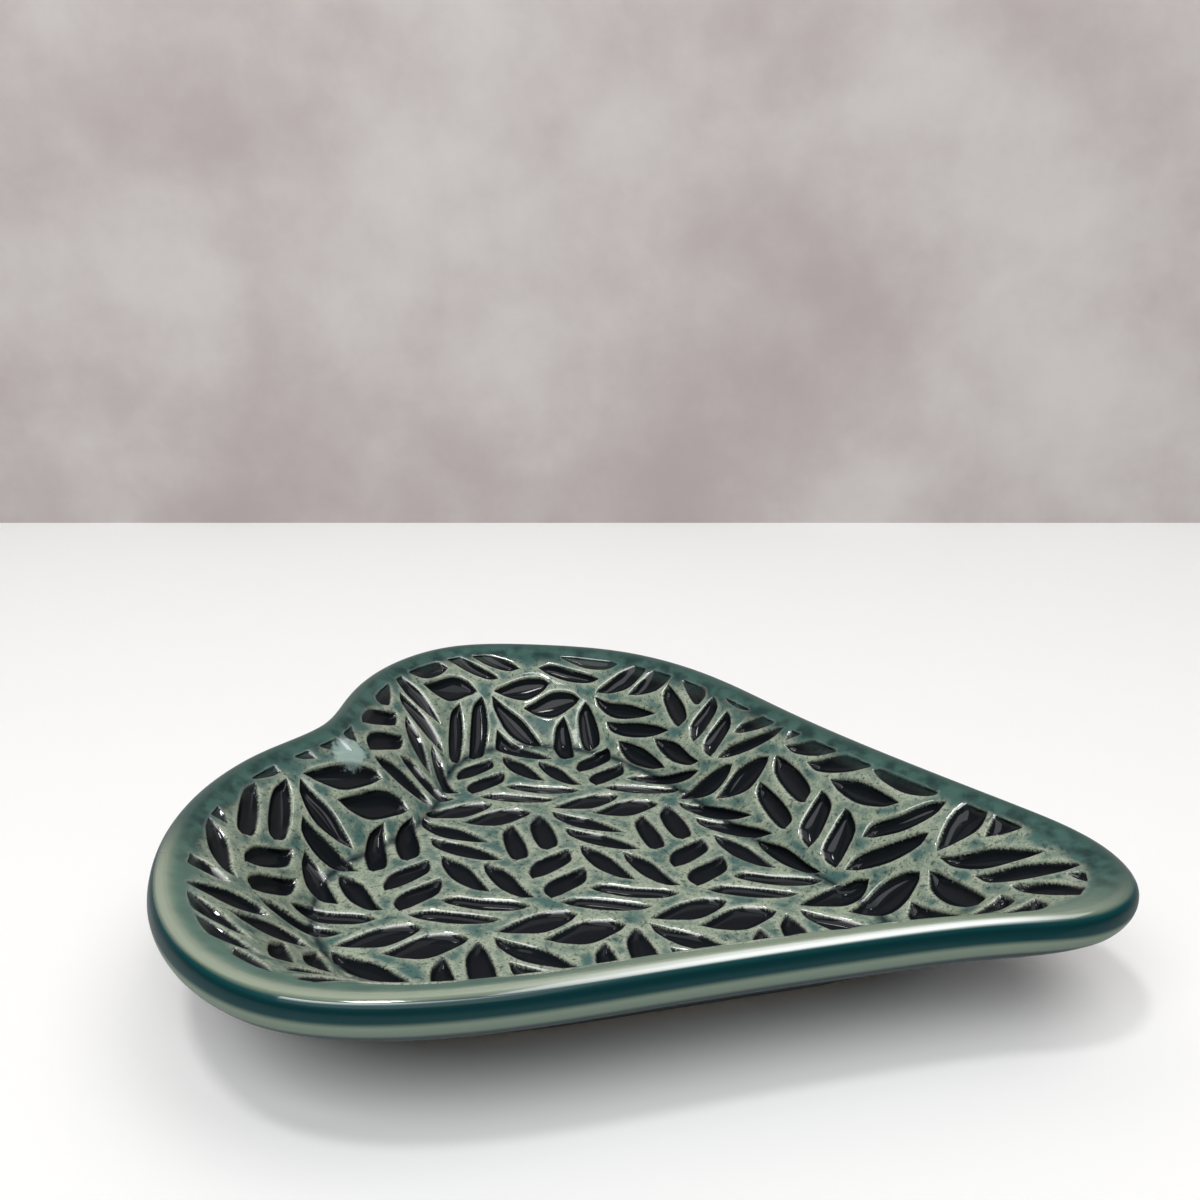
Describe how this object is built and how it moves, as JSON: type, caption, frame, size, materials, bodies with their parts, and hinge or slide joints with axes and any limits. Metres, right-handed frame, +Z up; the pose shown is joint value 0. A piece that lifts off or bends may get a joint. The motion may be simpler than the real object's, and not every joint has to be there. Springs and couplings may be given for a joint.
{
  "type": "dish",
  "caption": "Heart-shaped stoneware trinket dish: a flat heart floor, a wide flared wall with a rounded rim, teal glaze over bare clay at the foot.",
  "frame": {"origin": "middle of the bounding box's base, on the surface that the dish stands on", "axes": "+X from the cleft to the heart's tip, +Y to the far lobe, +Z up out of the dish"},
  "size_m": [0.1334, 0.1192, 0.0194],
  "materials": {
    "clay": "bare fired stoneware, matt",
    "glaze": "glossy teal glaze"
  },
  "bodies": {
    "root": {"clay_body": "clay", "glaze_coat": "glaze"}
  },
  "joints": []
}
